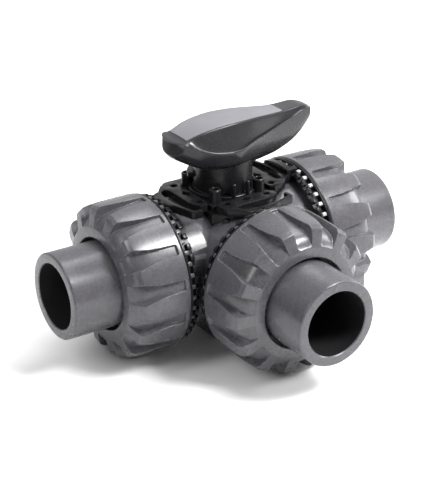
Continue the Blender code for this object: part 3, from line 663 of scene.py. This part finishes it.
def handleSection(x):
    g = handle
    keel, top = between(g["keel"], x), between(g["top"], x)
    rim, rimZ = between(g["rimHalf"], x), between(g["rimHeight"], x)
    scoop = between(g["scoop"], x)
    ridge = min(between(g["ridgeHalf"], x), rim - 0.9)
    low = rimZ - scoop
    gap, drop = rim - ridge, top - low
    return [
        (0.0, top), (ridge * 0.55, top), (ridge - 0.8, top - 0.03), (ridge - 0.1, top - 0.35),
        (ridge + gap * 0.05, top - 0.12 * drop), (ridge + gap * 0.24, top - 0.42 * drop),
        (ridge + gap * 0.48, top - 0.76 * drop), (ridge + gap * 0.70, low + 0.07 * drop), (rim - 0.17 * gap, low),
        (rim - 0.14 * gap, low + 0.08 * scoop), (rim - 0.12 * gap, rimZ - 0.15), (rim - 0.08 * gap, rimZ),
        (rim, rimZ - 0.6), (rim - 0.1, rimZ - 2.0),
        (rim * 0.955, keel + (rimZ - keel) * 0.60), (rim * 0.84, keel + (rimZ - keel) * 0.28),
        (rim * 0.55, keel + (rimZ - keel) * 0.07), (0.0, keel),
    ]


def panelLoop(margin):
    g = handle
    start, end = g["panelFrom"] - margin, g["panelTo"] + margin
    stations = [start + (end - start) * i / 24 for i in range(25)]
    return mirrored([(x, between(g["panelHalf"], x) + margin) for x in stations])


def makeHandle():
    # one closed loop for each station from tail to tip, bowed in plan towards both ends
    g = handle
    count = 34
    bm = bmesh.new()
    loops = []
    for i in range(count + 1):
        t = i / count
        x = g["tail"] + (g["tip"] - g["tail"]) * (t - math.sin(math.tau * t) / math.tau * 0.6)
        half = handleSection(x)
        wide = max(y for y, z in half)
        bow = g["tailBow"][0] * max(0.0, (g["tailBow"][1] - x) / (g["tailBow"][1] - g["tail"])) ** 1.5
        bow -= g["tipBow"][0] * max(0.0, (x - g["tipBow"][1]) / (g["tip"] - g["tipBow"][1])) ** 1.5
        ring = half + [(-y, z) for y, z in reversed(half[1:-1])]
        verts = [bm.verts.new((x + bow * (y / wide) ** 2, y, z)) for y, z in ring]
        loops.append([bm.edges.new((a, b)) for a, b in zip(verts, verts[1:] + verts[:1])])
    for first, second in zip(loops, loops[1:]):
        bmesh.ops.bridge_loops(bm, edges=first + second)
    for end in (loops[0], loops[-1]):
        cap = bmesh.ops.edgeloop_fill(bm, edges=end)["faces"]
        bmesh.ops.inset_region(bm, faces=cap, thickness=0.6, depth=0.2)
    piece = fromBmesh("handleShell", bm, upright())
    soft = piece.modifiers.new("soften", "SUBSURF")
    soft.levels = 2
    soft.render_levels = 2
    applied(piece)
    # pocket for the lift-out panel, with two sockets for its prongs
    pocket = plate("panelPocket", [panelLoop(0.35)], g["seat"], 90, upright(), 0)
    sockets = [spanBlock("prongSocket", x - 2.3, x + 2.3, (-4.3, 4.3), g["prongLow"] - 1, g["seat"] + 1, upright())
               for x in g["prongs"]]
    joined(piece, [pocket] + sockets, "DIFFERENCE")
    return smooth(piece, 40)


hub = {"radius": 17.2, "low": 42.1, "top": 60.0, "relief": 10.5, "lug": (20.6, 18.0, 47.9, 50.9)}


def makeHub():
    g = hub
    piece = lathe("handleHub", [
        (g["top"], 0), (g["top"], g["radius"]), (g["low"] + 0.5, g["radius"]), (g["low"], g["radius"] - 0.5),
        (g["low"], g["relief"]), (g["low"] + 2.4, g["relief"]), (g["low"] + 2.4, 0),
    ], upright(), 128)
    # the hub gets the black acetal, darker than the charcoal shell it belongs to, as painted shade under the handle
    dress(smooth(piece), blackAcetal, "handle")
    reach, start, low, high = g["lug"]
    sector = arcPoints((0, 0), reach, start, 180 - start, 36) + arcPoints((0, 0), 15.0, 180 - start, start, 36)
    lug = plate("stopLug", [sector], low, high, upright(), 0.25)
    return dress(smooth(lug), blackAcetal, "handle")


def makePanel():
    g = handle
    count = 22
    bm = bmesh.new()
    grid = bmesh.ops.create_grid(bm, x_segments=count, y_segments=6, size=1)
    for vert in grid["verts"]:
        x = g["panelFrom"] + (g["panelTo"] - g["panelFrom"]) * (vert.co.x + 1) / 2
        half = between(g["panelHalf"], x)
        across = vert.co.y
        vert.co = (x, across * half, between(g["top"], x) + 0.22 - 0.12 * across * across)
    whole = bmesh.ops.extrude_face_region(bm, geom=bm.faces[:])
    moved = [v for v in whole["geom"] if isinstance(v, bmesh.types.BMVert)]
    for vert in moved:
        vert.co.z = g["seat"] + 0.3
    for x in g["prongs"]:
        block(bm, (4.0, 8.0, 10.0), (x, 0, g["prongLow"] + 5), 0.3)
    piece = fromBmesh("handlePanel", bm, upright())
    smooth(rounded(piece, 0.3, 3, 40))
    return dress(piece, panelNylon, "insert", ["handle_insert"])


shell = makeHandle()
dress(shell, charcoalNylon, "handle", ["handle"])
makeHub()
makePanel()
print("handle ready")


# ---- ball, stem, seats and seals ----

def ballShape():
    bm = bmesh.new()
    bmesh.ops.create_uvsphere(bm, u_segments=96, v_segments=48, radius=30)
    piece = fromBmesh("portedBall", bm, upright())
    joined(piece, [
        lathe("ballRun", [(-33, 0), (-33, 19), (33, 19), (33, 0)], facing(ports["right"]), 96),
        lathe("ballBranch", [(0, 0), (0, 19), (33, 19), (33, 0)], facing(ports["front"]), 96),
    ], "DIFFERENCE")
    return dress(smooth(rounded(piece, 0.5, 2, 35)), whitePtfe, "handle", ["ball"])


def sealRing(name, radius, section, height, place, ridesOn, node):
    profile = [(height + dz, radius + dr) for dz, dr in arcPoints((0, 0), section, 0, 345, 23)]
    return dress(smooth(lathe(name, profile, place, 96), 60), blackRubber, ridesOn, [node])


def makeInside():
    ballShape()
    for side, direction in ports.items():
        place = facing(direction)
        seat = lathe(side + "BallSeat", [(28, 19.3), (28, 24.5), (24.9, 24.5), (21.7, 21.3), (23.4, 19.3)], place)
        dress(smooth(seat), whitePtfe, "root", [side + "_ball_seat"])
        carrier = lathe(side + "SeatCarrier", [
            (69.6, 19.0), (69.6, 32.8), (41.6, 32.8), (41.6, 30.0), (38.0, 30.0), (38.0, 32.8), (33.1, 32.8),
            (26.2, 25.9), (26.2, 24.8), (28.3, 24.8), (28.3, 19.0)], place)
        dress(smooth(carrier), greyPvc, "root", [side + "_seat_carrier"])
        sealRing(side + "CarrierSeal", 31.6, 1.3, 39.8, place, "root", side + "_carrier_oring")
        sealRing(side + "FaceSeal", 35.5, 0.75, 69.25, place, "root", side + "_face_oring")
    back = lathe("backSeat", [(24.8, 19.3), (24.8, 21.3), (21.7, 21.3), (23.4, 19.3)], facing(-ports["front"]))
    dress(smooth(back), whitePtfe, "root", ["back_seat"])
    sealRing("stemSealLower", 9.3, 0.8, 36.5, upright(), "handle", "stem_oring_lower")
    sealRing("stemSealUpper", 9.3, 0.8, 39.7, upright(), "handle", "stem_oring_upper")
    for name, material in (("stem", greyPvc), ("stem_washer", whitePtfe)):
        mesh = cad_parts[name].data
        mesh.materials.clear()
        mesh.materials.append(material)


makeInside()
print("inside ready")


# ---- floor, light and camera ----

studio = {"sweepTowards": (0.8, 0.3, 0.5), "sweep": 1.05, "room": 0.06, "floor": 0.94}


def makeStage():
    floorMaterial = bpy.data.materials.new("paleFloor")
    floorMaterial.use_nodes = True
    shader = floorMaterial.node_tree.nodes["Principled BSDF"]
    shader.inputs["Base Color"].default_value = (studio["floor"],) * 3 + (1,)
    shader.inputs["Roughness"].default_value = 0.55
    bm = bmesh.new()
    bmesh.ops.create_grid(bm, x_segments=1, y_segments=1, size=4.0)
    mesh = bpy.data.meshes.new("floor")
    bm.to_mesh(mesh)
    bm.free()
    floor = newObject("floor", mesh)
    floor.data.materials.append(floorMaterial)
    world = bpy.data.worlds.new("studio")
    world.use_nodes = True
    nodes, links = world.node_tree.nodes, world.node_tree.links
    # a white sweep behind the object that falls off towards the room
    towards = nodes.new("ShaderNodeVectorMath")
    towards.operation = "DOT_PRODUCT"
    towards.inputs[1].default_value = studio["sweepTowards"]
    links.new(nodes.new("ShaderNodeTexCoord").outputs["Generated"], towards.inputs[0])
    fall = nodes.new("ShaderNodeMapRange")
    fall.inputs["From Min"].default_value = -0.7
    fall.inputs["From Max"].default_value = 0.9
    fall.inputs["To Min"].default_value = studio["room"]
    fall.inputs["To Max"].default_value = studio["sweep"]
    links.new(towards.outputs["Value"], fall.inputs["Value"])
    links.new(fall.outputs["Result"], nodes["Background"].inputs["Strength"])
    nodes["Background"].inputs["Color"].default_value = (1, 1, 1, 1)
    bpy.context.scene.world = world
    bpy.context.scene.view_settings.view_transform = "Standard"


def softbox(name, location, target, size, power):
    light = bpy.data.lights.new(name, "AREA")
    light.shape = "RECTANGLE"
    light.size, light.size_y = size
    light.energy = power
    lamp = newObject(name, light)
    lamp.location = location
    lamp.rotation_mode = "QUATERNION"
    lamp.rotation_quaternion = (Vector(target) - Vector(location)).to_track_quat("-Z", "Y")


view = {"azimuth": -33.3, "elevation": 25.6, "distance": 862.6, "across": -2.0, "up": -0.5, "focal": 105.2}


def makeCamera():
    a, e = math.radians(view["azimuth"]), math.radians(view["elevation"])
    back = Vector((math.sin(a) * math.cos(e), -math.cos(a) * math.cos(e), math.sin(e)))
    right = Vector((math.cos(a), math.sin(a), 0))
    up = back.cross(right)
    lens = bpy.data.cameras.new("camera")
    lens.lens = view["focal"]
    lens.sensor_width = 36
    lens.clip_start, lens.clip_end = 0.05, 30
    camera = newObject("camera", lens)
    place = back * view["distance"] + right * view["across"] + up * view["up"]
    camera.location = (place + Vector((0, 0, axisHeight))) * mm
    camera.rotation_mode = "QUATERNION"
    camera.rotation_quaternion = (-back).to_track_quat("-Z", "Y")
    bpy.context.scene.camera = camera


makeStage()
softbox("bandLight", (0.40, -0.57, 0.88), (-0.05, 0, 0.05), (0.36, 0.26), 17)
softbox("topLight", (0.45, 0.2, 1.15), (0, 0, 0.05), (0.6, 0.6), 8)
softbox("rightLight", (1.05, -0.2, 0.45), (0.04, -0.03, 0.05), (0.4, 0.4), 6)
softbox("leftLight", (-1.0, -0.1, 0.9), (-0.05, 0, 0.05), (0.3, 0.7), 6)
makeCamera()
print("stage ready")
